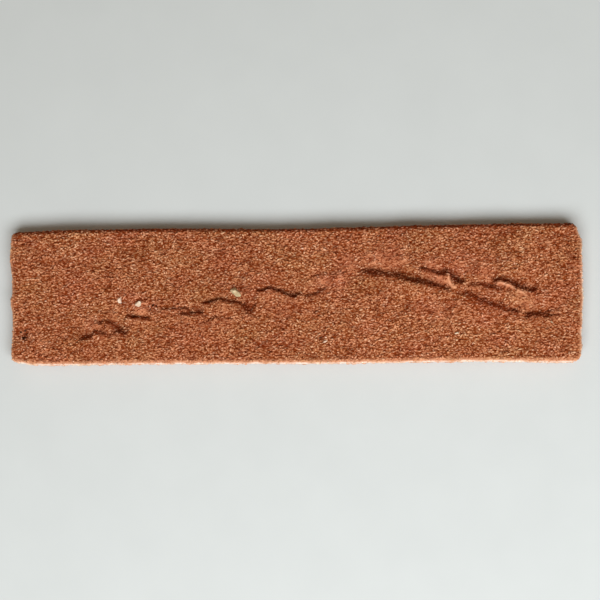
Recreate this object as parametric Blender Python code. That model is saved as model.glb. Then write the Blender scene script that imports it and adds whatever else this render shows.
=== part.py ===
"""Hand-moulded brick slip, lying on its sawn back with its sanded and folded face up.

The slip is one fired piece: a thin slab with rounded corners and a soft arris round its face.
The clay was thrown into a sanded mould, so the face carries folds where it lapped over itself.
X runs along the slip, Y across its course height, and Z is up out of the face.
"""
import math
from collections import namedtuple

import bmesh
import bpy
import numpy as np
from mathutils import Vector, noise

# Driving sizes, in metres
LENGTH = 0.210
HEIGHT = 0.050
THICKNESS = 0.007
CORNER_RADIUS = 0.0020
ARRIS_RADIUS = 0.0016

# Folds: how a lip rises from its groove and runs out on the other side
LIP_SPREAD = 0.0026
GROOVE_REACH = 0.0012
GROOVE_SPREAD = 0.8
ROUTE_STEP = 0.0005
TAPER = 0.12
END_REACH = 0.0012
VIGOUR_PITCH = 0.0055
VIGOUR_SPREAD = 0.35
VIGOUR_LEVEL = 24.6
BREADTH_PITCH = 0.0044
BREADTH_SPREAD = 0.5
BREADTH_LEVEL = 26.2

# Irregularity of the moulded faces
SWELL_DEPTH = 0.00030
SWELL_PITCH = 0.024
SWELL_LEVEL = 3.7
RIPPLE_DEPTH = 0.00016
RIPPLE_PITCH = 0.0065
RIPPLE_LEVEL = 8.2
EDGE_REACH = 0.0065

# Spacing of the cuts that carry the relief
CUT_ALONG = 0.0029
CUT_ACROSS = 0.00088
CUT_UP = 0.0030

CORNER_SEGMENTS = 4
ARRIS_SEGMENTS = 3
TOLERANCE = 1e-6

# How far each edge bulges outwards from a straight one, in millimetres, at shares of the way along it
MILLIMETRE = 0.001
UPPER_EDGE = ((-0.50, -0.45), (-0.45, -0.30), (-0.39, 0.10), (-0.22, 0.15), (-0.16, 0.00), (-0.10, -0.30),
              (-0.03, -0.60), (0.05, -0.52), (0.10, -0.32), (0.17, -0.20), (0.23, 0.05), (0.40, 0.22),
              (0.50, 0.05))
LOWER_EDGE = ((-0.50, -1.10), (-0.488, -0.95), (-0.46, -0.10), (-0.44, 0.00), (-0.37, 0.05), (-0.32, -0.15),
              (-0.15, -0.12), (-0.03, 0.00), (0.06, 0.12), (0.17, -0.05), (0.20, -0.25), (0.35, -0.30),
              (0.40, -0.02), (0.45, 0.22), (0.48, 0.15), (0.50, -0.25))
LEFT_EDGE = ((-0.50, 0.15), (-0.40, 0.45), (-0.31, 0.05), (-0.22, -0.20), (-0.13, -0.20), (-0.04, 0.40),
             (0.05, -0.20), (0.17, -0.20), (0.22, 0.33), (0.31, 0.57), (0.40, 0.15), (0.50, -0.05))
RIGHT_EDGE = ((-0.50, -0.90), (-0.45, -0.52), (-0.40, -0.22), (-0.27, -0.25), (-0.20, 0.15), (-0.12, 0.10),
              (-0.04, 0.57), (0.03, 0.32), (0.16, 0.20), (0.33, 0.21), (0.38, 0.00), (0.42, -0.78),
              (0.46, -1.40), (0.50, -1.75))

# A route's points and a spot's place are shares of the length and height, from the middle of the face.
# A route runs towards +X, with its groove on the +Y side and its lip on the -Y side.
Fold = namedtuple("Fold", "route rise groove width")
Spot = namedtuple("Spot", "place reach rise")

FOLDS = (
    # The long fold from the middle of the slip down to its right end: a broad sandy bank in three lengths
    Fold(((0.112, 0.181), (0.135, 0.165), (0.159, 0.152), (0.183, 0.138), (0.207, 0.106), (0.232, 0.085),
          (0.259, 0.049), (0.283, 0.015)), 0.0018, 0.0013, 0.0028),
    Fold(((0.290, 0.035), (0.305, -0.000), (0.321, -0.041), (0.338, -0.067), (0.358, -0.095),
          (0.377, -0.125), (0.398, -0.151)), 0.0009, 0.0006, 0.0023),
    Fold(((0.401, -0.168), (0.413, -0.156), (0.423, -0.153), (0.433, -0.162),
          (0.444, -0.175)), 0.0012, 0.0010, 0.0021),
    Fold(((0.439, -0.166), (0.451, -0.167), (0.462, -0.158)), 0.0005, 0.0005, 0.0010),
    Fold(((0.434, -0.139), (0.447, -0.128), (0.463, -0.117)), 0.0004, 0.0004, 0.0010),
    # The branch above it, and the torn end that hooks round a pit
    Fold(((0.218, 0.188), (0.237, 0.174), (0.249, 0.154), (0.259, 0.149),
          (0.273, 0.167)), 0.0011, 0.0008, 0.0015),
    Fold(((0.273, 0.191), (0.275, 0.151), (0.280, 0.118), (0.288, 0.092),
          (0.300, 0.080)), 0.0010, 0.0013, 0.0019),
    # The flap right of the pit, with a lower step under it
    Fold(((0.345, 0.087), (0.359, 0.098), (0.371, 0.085), (0.383, 0.059),
          (0.396, 0.037)), 0.0013, 0.0010, 0.0017),
    Fold(((0.378, 0.068), (0.390, 0.046), (0.401, 0.031), (0.412, 0.023),
          (0.424, 0.014)), 0.0010, 0.0010, 0.0025),
    Fold(((0.302, 0.065), (0.321, 0.072), (0.338, 0.056), (0.355, 0.043),
          (0.369, 0.027)), 0.0006, 0.0007, 0.0017),
    # The faint fold near the middle
    Fold(((0.030, 0.141), (0.053, 0.152), (0.074, 0.150), (0.098, 0.171)), 0.0002, 0.0003, 0.0010),
    # The wide V with the hollow in its right arm, and the hook beside it
    Fold(((-0.070, 0.035), (-0.054, 0.036), (-0.041, 0.050), (-0.029, 0.042), (-0.015, 0.016),
          (-0.003, -0.005), (0.007, -0.001), (0.018, 0.039)), 0.0009, 0.0006, 0.0011),
    Fold(((-0.029, 0.034), (-0.015, 0.020), (-0.003, 0.005), (0.011, 0.009)), 0.0005, 0.0007, 0.0020),
    Fold(((0.019, -0.003), (0.030, -0.005), (0.041, 0.004), (0.048, 0.033),
          (0.063, 0.052)), 0.0006, 0.0005, 0.0013),
    # The arch left of them with the hollow at its end, and the short folds that lead up to it
    Fold(((-0.165, -0.058), (-0.149, -0.045), (-0.136, -0.031), (-0.124, -0.025), (-0.110, -0.041),
          (-0.096, -0.052), (-0.082, -0.071)), 0.0009, 0.0006, 0.0012),
    Fold(((-0.091, -0.065), (-0.081, -0.086), (-0.072, -0.112)), 0.0006, 0.0011, 0.0026),
    Fold(((-0.084, -0.117), (-0.072, -0.147), (-0.056, -0.172)), 0.0003, 0.0002, 0.0009),
    Fold(((-0.237, -0.081), (-0.221, -0.092), (-0.207, -0.084), (-0.191, -0.083),
          (-0.179, -0.103)), 0.0007, 0.0005, 0.0010),
    Fold(((-0.200, -0.131), (-0.186, -0.126), (-0.172, -0.121), (-0.155, -0.129)), 0.0008, 0.0006, 0.0012),
    Fold(((-0.167, -0.213), (-0.153, -0.190), (-0.142, -0.173), (-0.133, -0.141)), 0.0004, 0.0003, 0.0008),
    Fold(((-0.140, -0.146), (-0.121, -0.165), (-0.102, -0.175)), 0.0003, 0.0002, 0.0008),
    Fold(((-0.295, -0.129), (-0.284, -0.150), (-0.271, -0.149), (-0.261, -0.158),
          (-0.250, -0.175)), 0.0009, 0.0006, 0.0012),
    # The rumpled patch near the left end
    Fold(((-0.380, -0.313), (-0.371, -0.301), (-0.362, -0.292), (-0.352, -0.299)), 0.0005, 0.0008, 0.0021),
    Fold(((-0.356, -0.249), (-0.344, -0.257), (-0.335, -0.265), (-0.327, -0.258)), 0.0004, 0.0007, 0.0016),
    Fold(((-0.329, -0.296), (-0.319, -0.275), (-0.311, -0.261), (-0.298, -0.254)), 0.0007, 0.0005, 0.0011),
    Fold(((-0.333, -0.176), (-0.323, -0.189), (-0.316, -0.208), (-0.310, -0.230), (-0.302, -0.252),
          (-0.289, -0.268)), 0.0008, 0.0010, 0.0023),
    Fold(((-0.348, -0.164), (-0.341, -0.192), (-0.332, -0.157)), 0.0004, 0.0006, 0.0012),
)

# Hollows, with a negative rise, and pads of clay that stand up beside the folds
SPOTS = (
    # The tongue of smooth clay, and the pits beside and below the torn flaps
    Spot((0.244, 0.129), 0.0016, 0.0003),
    Spot((0.258, 0.116), 0.0020, 0.0003),
    Spot((0.283, 0.141), 0.0016, -0.0006),
    Spot((0.342, 0.059), 0.0015, -0.0005),
    Spot((0.416, -0.144), 0.0022, -0.0006),
    Spot((0.219, 0.108), 0.0016, -0.0006),
    Spot((0.400, 0.049), 0.0016, -0.0005),
    # Pads and pits along the V, the arch and the short folds
    Spot((0.403, -0.056), 0.0032, 0.0005),
    Spot((-0.268, -0.102), 0.0023, 0.0004),
    Spot((-0.122, -0.053), 0.0030, 0.0004),
    Spot((-0.043, 0.021), 0.0024, 0.0003),
    Spot((-0.091, 0.071), 0.0020, -0.0006),
    Spot((-0.080, -0.076), 0.0022, -0.0009),
    Spot((-0.078, 0.037), 0.0016, 0.0003),
    Spot((-0.167, -0.106), 0.0016, -0.0006),
    Spot((0.200, -0.081), 0.0018, -0.0005),
    Spot((-0.190, -0.153), 0.0016, 0.0003),
    # Low swellings that catch the light
    Spot((0.332, 0.172), 0.0034, 0.0006),
    Spot((0.294, 0.232), 0.0030, 0.0004),
    Spot((0.241, 0.216), 0.0024, 0.0003),
    Spot((0.149, 0.250), 0.0040, 0.0006),
    Spot((0.055, 0.105), 0.0026, 0.0005),
    Spot((0.083, 0.125), 0.0022, 0.0006),
    Spot((0.029, 0.077), 0.0020, 0.0004),
    Spot((0.264, -0.160), 0.0040, 0.0003),
    # The rumpled patch: low domes with pits round them
    Spot((-0.358, -0.183), 0.0028, 0.0006),
    Spot((-0.319, -0.144), 0.0026, 0.0006),
    Spot((-0.339, -0.286), 0.0017, 0.0004),
    Spot((-0.311, -0.229), 0.0023, -0.0008),
    Spot((-0.366, -0.268), 0.0019, -0.0004),
    # The bed of the iron spot
    Spot((-0.476, -0.279), 0.0023, -0.0005),
)


def clear_scene():
    """Remove every object, so that the script can be run again."""
    for thing in list(bpy.data.objects):
        bpy.data.objects.remove(thing, do_unlink=True)


def smoothstep(share):
    """Go from 0 to 1 with level ends as share does."""
    share = np.clip(share, 0.0, 1.0)
    return share * share * (3.0 - 2.0 * share)


def smooth_route(points):
    """Return points every ROUTE_STEP along a smooth curve through a route's own points, in metres."""
    knots = np.array(points) * (LENGTH, HEIGHT)
    knots = np.vstack((2 * knots[0] - knots[1], knots, 2 * knots[-1] - knots[-2]))
    samples = []
    for before, start, end, after in zip(knots, knots[1:], knots[2:], knots[3:]):
        count = max(2, int(np.linalg.norm(end - start) / ROUTE_STEP))
        t = np.linspace(0.0, 1.0, count, endpoint=False)[:, None]
        bend = 2 * before - 5 * start + 4 * end - after
        twist = 3 * start - before - 3 * end + after
        samples.append(start + 0.5 * t * (end - before + t * (bend + t * twist)))
    samples.append(knots[-2][None, :])
    return np.vstack(samples)


def fold_height(places, fold):
    """Return the height that one fold adds at each place: a groove, a steep step and a lip."""
    route = smooth_route(fold.route)
    ahead = np.gradient(route, axis=0)
    ahead /= np.linalg.norm(ahead, axis=1)[:, None]
    apart = places[:, None, :] - route[None, :, :]
    nearest = np.argmin(np.sum(apart * apart, axis=2), axis=1)
    offset = apart[np.arange(len(places)), nearest]
    heading = ahead[nearest]
    side = offset[:, 0] * heading[:, 1] - offset[:, 1] * heading[:, 0]
    past_end = np.abs(offset[:, 0] * heading[:, 0] + offset[:, 1] * heading[:, 1])
    share = nearest / (len(route) - 1)
    ends = smoothstep(share / TAPER) * smoothstep((1.0 - share) / TAPER)
    ends *= np.exp(-(past_end / END_REACH) ** 2)
    width = fold.width * (1.0 + BREADTH_SPREAD * waves(places, BREADTH_PITCH, BREADTH_LEVEL))
    step = smoothstep(side / width + 0.5)
    lip = fold.rise * step * np.exp(-(np.maximum(side, 0.0) / (LIP_SPREAD + fold.width)) ** 2)
    beyond = np.minimum(side + width / 2, 0.0)
    reach = GROOVE_REACH + GROOVE_SPREAD * fold.width
    groove = fold.groove * (1.0 - step) * np.exp(-(beyond / reach) ** 2)
    vigour = 1.0 + VIGOUR_SPREAD * waves(places, VIGOUR_PITCH, VIGOUR_LEVEL)
    return ends * vigour * (lip - groove)


def spot_height(places, spot):
    """Return the height that one round hollow or pad adds at each place."""
    apart = places - np.array(spot.place) * (LENGTH, HEIGHT)
    return spot.rise * np.exp(-np.sum(apart * apart, axis=1) / spot.reach ** 2)


def waves(places, pitch, level):
    """Return smooth noise of about -1 to 1 at each place. The level keeps one use apart from another."""
    return np.array([noise.noise(Vector((x / pitch, y / pitch, level))) for x, y in places])


def face_relief(places):
    """Return the face's height above its mean level at each place."""
    height = SWELL_DEPTH * waves(places, SWELL_PITCH, SWELL_LEVEL)
    height += RIPPLE_DEPTH * waves(places, RIPPLE_PITCH, RIPPLE_LEVEL)
    for fold in FOLDS:
        height += fold_height(places, fold)
    for spot in SPOTS:
        height += spot_height(places, spot)
    return height


def cut_stations(span, pitch, keep):
    """Return evenly spaced places across a span, centred on 0, that stay a distance keep off its ends."""
    count = max(1, math.ceil((span - 2 * keep) / pitch))
    return np.linspace(keep - span / 2, span / 2 - keep, count + 1)


def cut(bm, place, normal):
    """Cut every face of the slab along one plane."""
    everything = bm.verts[:] + bm.edges[:] + bm.faces[:]
    bmesh.ops.bisect_plane(bm, geom=everything, dist=TOLERANCE, plane_co=place, plane_no=normal)


def rounded_slab():
    """Return a plain slab with round corners and a round arris, standing on Z = 0."""
    bm = bmesh.new()
    bmesh.ops.create_cube(bm, size=1.0)
    bmesh.ops.scale(bm, verts=bm.verts, vec=(LENGTH, HEIGHT, THICKNESS))
    bmesh.ops.translate(bm, verts=bm.verts, vec=(0.0, 0.0, THICKNESS / 2))
    upright = [edge for edge in bm.edges if abs(edge.verts[0].co.z - edge.verts[1].co.z) > TOLERANCE]
    bmesh.ops.bevel(bm, geom=upright, offset=CORNER_RADIUS, segments=CORNER_SEGMENTS, profile=0.5,
                    affect="EDGES")
    rim = [edge for edge in bm.edges if min(vert.co.z for vert in edge.verts) > THICKNESS - TOLERANCE]
    bmesh.ops.bevel(bm, geom=rim, offset=ARRIS_RADIUS, segments=ARRIS_SEGMENTS, profile=0.5,
                    affect="EDGES")
    return bm


def cut_into_cells(bm):
    """Cut the slab finely enough to carry the relief, and leave its flat back whole."""
    for x in cut_stations(LENGTH, CUT_ALONG, CORNER_RADIUS):
        cut(bm, (x, 0.0, 0.0), (1.0, 0.0, 0.0))
    for y in cut_stations(HEIGHT, CUT_ACROSS, CORNER_RADIUS):
        cut(bm, (0.0, y, 0.0), (0.0, 1.0, 0.0))
    side = THICKNESS - ARRIS_RADIUS
    rows = max(1, round(side / CUT_UP))
    for row in range(1, rows):
        cut(bm, (0.0, 0.0, side * row / rows), (0.0, 0.0, 1.0))
    back = [face for face in bm.faces if max(vert.co.z for vert in face.verts) < TOLERANCE]
    bmesh.ops.dissolve_faces(bm, faces=back)


def bulge(edge, shares):
    """Return how far an edge bulges at each share of the way along it, easing from point to point."""
    stops, sizes = np.array(edge).T
    after = np.clip(np.searchsorted(stops, shares), 1, len(stops) - 1)
    way = smoothstep((shares - stops[after - 1]) / (stops[after] - stops[after - 1]))
    return MILLIMETRE * (sizes[after - 1] + way * (sizes[after] - sizes[after - 1]))


def bulged_outline(places):
    """Return how far each place moves along X and Y to bring the straight edges to the real outline."""
    along, across = places[:, 0] / LENGTH, places[:, 1] / HEIGHT
    near_end = smoothstep(1.0 - (LENGTH / 2 - np.abs(places[:, 0])) / EDGE_REACH)
    near_side = smoothstep(1.0 - (HEIGHT / 2 - np.abs(places[:, 1])) / EDGE_REACH)
    ends = np.where(along > 0, bulge(RIGHT_EDGE, across), -bulge(LEFT_EDGE, across))
    sides = np.where(across > 0, bulge(UPPER_EDGE, along), -bulge(LOWER_EDGE, along))
    return near_end * ends, near_side * sides


def shape_moulded_faces(bm):
    """Move the plain slab's points to the worn outline and the folded face."""
    verts = list(bm.verts)
    points = np.array([vert.co for vert in verts])
    places = points[:, :2]
    share_up = points[:, 2] / THICKNESS
    along, across = bulged_outline(places)
    lift = face_relief(places) * share_up
    for vert, right, away, up in zip(verts, along, across, lift):
        vert.co += Vector((right, away, up))


def fired_clay():
    """Return the orange-red of fired clay under its moulding sand."""
    material = bpy.data.materials.new("fired_clay")
    material.use_nodes = True
    shader = material.node_tree.nodes["Principled BSDF"]
    shader.inputs["Base Color"].default_value = (0.337, 0.107, 0.045, 1.0)
    shader.inputs["Roughness"].default_value = 0.92
    shader.inputs["Metallic"].default_value = 0.0
    return material


def make_slip(collection):
    """Make the slip and put it in its collection."""
    bm = rounded_slab()
    cut_into_cells(bm)
    shape_moulded_faces(bm)
    bmesh.ops.recalc_face_normals(bm, faces=bm.faces)
    mesh = bpy.data.meshes.new("brick_slip")
    bm.to_mesh(mesh)
    bm.free()
    mesh.materials.append(fired_clay())
    collection.objects.link(bpy.data.objects.new("brick_slip", mesh))


def main():
    clear_scene()
    collection = bpy.data.collections.new("brick_slip")
    bpy.context.scene.collection.children.link(collection)
    make_slip(collection)


main()
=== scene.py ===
import math
from collections import namedtuple
from itertools import combinations, product

import bmesh
import bpy
import numpy as np
from mathutils import Matrix, Vector, geometry, noise


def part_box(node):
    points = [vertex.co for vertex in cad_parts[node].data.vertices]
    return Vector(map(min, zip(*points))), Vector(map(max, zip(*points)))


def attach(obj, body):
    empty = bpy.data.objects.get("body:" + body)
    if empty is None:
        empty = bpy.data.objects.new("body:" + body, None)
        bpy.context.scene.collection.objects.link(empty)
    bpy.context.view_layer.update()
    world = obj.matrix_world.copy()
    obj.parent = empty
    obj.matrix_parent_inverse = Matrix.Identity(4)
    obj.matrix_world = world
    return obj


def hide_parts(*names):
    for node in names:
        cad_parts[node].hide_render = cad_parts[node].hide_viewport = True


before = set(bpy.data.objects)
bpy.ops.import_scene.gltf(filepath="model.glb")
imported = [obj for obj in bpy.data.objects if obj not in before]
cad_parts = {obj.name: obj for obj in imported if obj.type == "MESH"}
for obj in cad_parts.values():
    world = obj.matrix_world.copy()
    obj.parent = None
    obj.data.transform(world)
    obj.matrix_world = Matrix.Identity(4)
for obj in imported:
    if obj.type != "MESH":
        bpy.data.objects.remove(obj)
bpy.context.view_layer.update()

LOW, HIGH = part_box("brick_slip")

# How far each edge bulges outwards from a straight one, in millimetres, at shares of the way along it
MILLIMETRE = 0.001
UPPER_EDGE = ((-0.50, -0.45), (-0.45, -0.30), (-0.39, 0.10), (-0.22, 0.15), (-0.16, 0.00), (-0.10, -0.30),
              (-0.03, -0.60), (0.05, -0.52), (0.10, -0.32), (0.17, -0.20), (0.23, 0.05), (0.40, 0.22),
              (0.50, 0.05))
LOWER_EDGE = ((-0.50, -1.10), (-0.488, -0.95), (-0.46, -0.10), (-0.44, 0.00), (-0.37, 0.05), (-0.32, -0.15),
              (-0.15, -0.12), (-0.03, 0.00), (0.06, 0.12), (0.17, -0.05), (0.20, -0.25), (0.35, -0.30),
              (0.40, -0.02), (0.45, 0.22), (0.48, 0.15), (0.50, -0.25))
LEFT_EDGE = ((-0.50, 0.15), (-0.40, 0.45), (-0.31, 0.05), (-0.22, -0.20), (-0.13, -0.20), (-0.04, 0.40),
             (0.05, -0.20), (0.17, -0.20), (0.22, 0.33), (0.31, 0.57), (0.40, 0.15), (0.50, -0.05))
RIGHT_EDGE = ((-0.50, -0.90), (-0.45, -0.52), (-0.40, -0.22), (-0.27, -0.25), (-0.20, 0.15), (-0.12, 0.10),
              (-0.04, 0.57), (0.03, 0.32), (0.16, 0.20), (0.33, 0.21), (0.38, 0.00), (0.42, -0.78),
              (0.46, -1.40), (0.50, -1.75))


def greatest(edge):
    """Return how far an edge bulges out at most, in metres."""
    return MILLIMETRE * max(size for _, size in edge)


# The plain slab inside the bulges, to the nearest millimetre
LENGTH = round(HIGH.x - LOW.x - greatest(LEFT_EDGE) - greatest(RIGHT_EDGE), 3)
HEIGHT = round(HIGH.y - LOW.y - greatest(UPPER_EDGE) - greatest(LOWER_EDGE), 3)
THICKNESS = 0.007
CORNER_RADIUS = 0.0020
ARRIS_RADIUS = 0.0016

# Folds: how a lip rises from its groove, leans over it where it is narrow, and runs out beyond
LIP_SPREAD = 0.0026
GROOVE_REACH = 0.0012
GROOVE_SPREAD = 0.8
FOLD_SPAN = 2.6
ROUTE_STEP = 0.0005
TAPER = 0.12
END_REACH = 0.0012
NARROW = 0.0008
LEAN = 0.00042
LEAN_REACH = 0.0009
# The crest of a narrow lip: how bare it is, how far behind the step it lies and how broad it is
CREST_BARE = 0.35
CREST_PLACE = 0.0009
CREST_REACH = 0.0008
# A thin ridge: how broad and bare it is, how pale it is painted as highlight for each millimetre that it
# rises, and how that breaks off
RIDGE_REACH = 0.00060
RIDGE_BARE = 1.2
RIDGE_HIGHLIGHT = 1.1
RIDGE_PITCH = 0.0013
RIDGE_BREAKS = (0.7, 0.8)
# Unevenness along a fold: of its line, its height and its breadth
RAGGED = 0.00045
RAGGED_PITCH = 0.0021
FRAYED = 0.000225
FRAYED_PITCH = 0.000945
VIGOUR_PITCH = 0.0055
VIGOUR_SPREAD = 0.35
BREADTH_PITCH = 0.0044
BREADTH_SPREAD = 0.5
# How dark the grooves of broad and sharp folds are painted as shade, over what share of their width, and the
# other dents
BROAD_DARKNESS = 0.86
SHARP_DARKNESS = 0.98
DARK_WIDTH = 0.62
PIT_DARKNESS = 0.7
CRACK_DARKNESS = 0.6
FINE_DARKNESS = 0.55
# A fold or pit that is less deep than this is painted less dark
DARK_FOLD_DEPTH = 0.0015
DARK_PIT_DEPTH = 0.0005

# Irregularity of the moulded faces, from broad swells down to the clay's own roughness
SWELL_DEPTH = 0.00030
SWELL_PITCH = 0.024
RIPPLE_DEPTH = 0.00016
RIPPLE_PITCH = 0.0065
LUMP_DEPTH = 0.00014
LUMP_PITCH = (0.0056, 0.0024)
# How steeply the lumps are drawn out up to the right
LUMP_SLANT = 0.30
FINE_DEPTH = 0.00050
FINE_PITCH = (0.0015, 0.00074)
FINE_SPREAD = 0.6
FINE_PATCH = 0.012
# The slope and offset that turn the fine noise into hollows painted dark as shade, and how much smoother bare
# clay is
FINE_HOLLOWS = (-2.6, -0.2)
BARE_SMOOTHNESS = 0.60
CRACK_DEPTH = 0.00018
CRACK_PITCH = (0.0052, 0.0019)
CRACK_WIDTH = 0.24
# The size of the patches with cracks, and the slope and offset that turn noise into them
CRACK_PATCH = (0.0042, 0.0030)
CRACK_PATCHES = (3.2, -0.25)
CRACK_SHARES = {"crack": 1.0, "short crack": 0.6}
PIT_COUNT = 150
PIT_SEED = 5
PIT_PLACES = np.array((0.49, 0.46))
PIT_REACHES = (0.0004, 0.0010)
PIT_STEEPNESS = (0.2, 0.5)
EDGE_REACH = 0.0065
EDGE_WANDER = 0.00010
EDGE_PITCH = 0.0034
# The narrow sides' roughness dies away over this height above the back
FOOT_HEIGHT = 0.001

# The level at which each use of the noise reads it, which keeps one apart from another
LEVELS = {"swell": 3.7, "ripple": 8.2, "end edge": 5.9, "long edge": 1.3, "ragged": 21.4, "frayed": 22.9,
          "vigour": 24.6, "breadth": 26.2, "lump": 31.0, "fine": 33.0, "fine patch": 35.0, "crack": 41.0,
          "crack patch": 42.7, "short crack": 46.0, "short crack patch": 47.7, "side lump": 51.0,
          "side fine": 53.0, "wear": 61.0, "ridge": 63.0}

# How pale and bare each arris is, worn and partly painted as highlight where it faces the light, and how far
# inwards, by its side of the slip
WEAR_AND_HIGHLIGHT = {"lower": (1.02, 0.0019), "left": (0.85, 0.0013), "right": (1.05, 0.0015)}
WEAR_PITCH = 0.004
WEAR_SPREAD = 0.3
# How much of the arris's wear and painted highlight the narrow sides take, and the slope and offset that make
# it fade down them
SIDE_WEAR_AND_HIGHLIGHT = 0.75
SIDE_FADE = (1.6, -0.2)
# How dark the upper arris, which faces away from the light, is painted as shade, from where on it and over
# what breadth, in shares of its radius
UPPER_ARRIS_SHADE = 0.75
UPPER_SHADE_START = 0.95
UPPER_SHADE_BREADTH = 0.60

# The body's cells, and how far the back's points stray, as a share of their cell
PITCH = 0.00037
SIDE_PITCH = 0.0006
BACK_PITCH = 0.0014
BACK_STRAY = 0.2
BACK_SEED = 8
# Heights under this count as none, and so do gaps between the back's points under the next
TINY = 1e-6
BACK_GAP = 1e-7

# A route's points and a spot's place are shares of the length and height, from the middle of the face.
# A route runs towards +X, with its groove on the +Y side and its lip on the -Y side.
Fold = namedtuple("Fold", "route rise groove width")
Ridge = namedtuple("Ridge", "route rise")
Spot = namedtuple("Spot", "place reach rise bare", defaults=(0.0,))

FOLDS = (
    # The long fold from the middle of the slip down to its right end: a broad sandy bank in three lengths
    Fold(((0.112, 0.181), (0.135, 0.165), (0.159, 0.152), (0.183, 0.138), (0.207, 0.106), (0.232, 0.085),
          (0.259, 0.049), (0.283, 0.015)), 0.0018, 0.0013, 0.0028),
    Fold(((0.290, 0.035), (0.305, 0.000), (0.321, -0.041), (0.338, -0.067), (0.358, -0.095),
          (0.377, -0.125), (0.398, -0.151)), 0.0009, 0.0006, 0.0023),
    Fold(((0.401, -0.168), (0.413, -0.156), (0.423, -0.153), (0.433, -0.162),
          (0.444, -0.175)), 0.0012, 0.0010, 0.0021),
    Fold(((0.439, -0.166), (0.451, -0.167), (0.462, -0.158)), 0.0005, 0.0005, 0.0010),
    Fold(((0.434, -0.139), (0.447, -0.128), (0.463, -0.117)), 0.0004, 0.0004, 0.0010),
    # The branch above it, and the torn end that hooks round a pit
    Fold(((0.218, 0.188), (0.237, 0.174), (0.249, 0.154), (0.259, 0.149),
          (0.273, 0.167)), 0.0011, 0.0008, 0.0015),
    Fold(((0.273, 0.191), (0.275, 0.151), (0.280, 0.118), (0.288, 0.092),
          (0.300, 0.080)), 0.0010, 0.0013, 0.0019),
    # The flap right of the pit, with a lower step under it
    Fold(((0.345, 0.087), (0.359, 0.098), (0.371, 0.085), (0.383, 0.059),
          (0.396, 0.037)), 0.0013, 0.0010, 0.0017),
    Fold(((0.378, 0.068), (0.390, 0.046), (0.401, 0.031), (0.412, 0.023),
          (0.424, 0.014)), 0.0010, 0.0010, 0.0025),
    Fold(((0.302, 0.065), (0.321, 0.072), (0.338, 0.056), (0.355, 0.043),
          (0.369, 0.027)), 0.0006, 0.0007, 0.0017),
    # The faint fold near the middle
    Fold(((0.030, 0.141), (0.053, 0.152), (0.074, 0.150), (0.098, 0.171)), 0.0002, 0.0003, 0.0010),
    # The wide V with the hollow in its right arm, and the hook beside it
    Fold(((-0.070, 0.035), (-0.054, 0.036), (-0.041, 0.050), (-0.029, 0.042), (-0.015, 0.016),
          (-0.003, -0.005), (0.007, -0.001), (0.018, 0.039)), 0.0009, 0.0006, 0.0011),
    Fold(((-0.029, 0.034), (-0.015, 0.020), (-0.003, 0.005), (0.011, 0.009)), 0.0005, 0.0007, 0.0020),
    Fold(((0.019, -0.003), (0.030, -0.005), (0.041, 0.004), (0.048, 0.033),
          (0.063, 0.052)), 0.0006, 0.0005, 0.0013),
    # The arch left of them with the hollow at its end, and the short folds that lead up to it
    Fold(((-0.165, -0.058), (-0.149, -0.045), (-0.136, -0.031), (-0.124, -0.025), (-0.110, -0.041),
          (-0.096, -0.052), (-0.082, -0.071)), 0.0009, 0.0006, 0.0012),
    Fold(((-0.091, -0.065), (-0.081, -0.086), (-0.072, -0.112)), 0.0006, 0.0011, 0.0026),
    Fold(((-0.084, -0.117), (-0.072, -0.147), (-0.056, -0.172)), 0.0003, 0.0002, 0.0009),
    Fold(((-0.237, -0.081), (-0.221, -0.092), (-0.207, -0.084), (-0.191, -0.083),
          (-0.179, -0.103)), 0.0007, 0.0005, 0.0010),
    Fold(((-0.200, -0.131), (-0.186, -0.126), (-0.172, -0.121), (-0.155, -0.129)), 0.0008, 0.0006, 0.0012),
    Fold(((-0.167, -0.213), (-0.153, -0.190), (-0.142, -0.173), (-0.133, -0.141)), 0.0004, 0.0003, 0.0008),
    Fold(((-0.140, -0.146), (-0.121, -0.165), (-0.102, -0.175)), 0.0003, 0.0002, 0.0008),
    Fold(((-0.295, -0.129), (-0.284, -0.150), (-0.271, -0.149), (-0.261, -0.158),
          (-0.250, -0.175)), 0.0009, 0.0006, 0.0012),
    # The rumpled patch near the left end
    Fold(((-0.380, -0.313), (-0.371, -0.301), (-0.362, -0.292), (-0.352, -0.299)), 0.0005, 0.0008, 0.0021),
    Fold(((-0.356, -0.249), (-0.344, -0.257), (-0.335, -0.265), (-0.327, -0.258)), 0.0004, 0.0007, 0.0016),
    Fold(((-0.329, -0.296), (-0.319, -0.275), (-0.311, -0.261), (-0.298, -0.254)), 0.0007, 0.0005, 0.0011),
    Fold(((-0.333, -0.176), (-0.323, -0.189), (-0.316, -0.208), (-0.310, -0.230), (-0.302, -0.252),
          (-0.289, -0.268)), 0.0008, 0.0010, 0.0023),
    Fold(((-0.348, -0.164), (-0.341, -0.192), (-0.332, -0.157)), 0.0004, 0.0006, 0.0012),
)

# Thin curled edges of clay on the two torn flaps, painted pale as highlight where they catch the light
RIDGES = (
    Ridge(((0.269, 0.149), (0.270, 0.117), (0.272, 0.085), (0.277, 0.058), (0.286, 0.045)), 0.0008),
    Ridge(((0.351, 0.074), (0.359, 0.080), (0.366, 0.070), (0.375, 0.057), (0.384, 0.034)), 0.0008),
    Ridge(((0.384, 0.022), (0.391, 0.018), (0.401, 0.003)), 0.0006),
)
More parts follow.
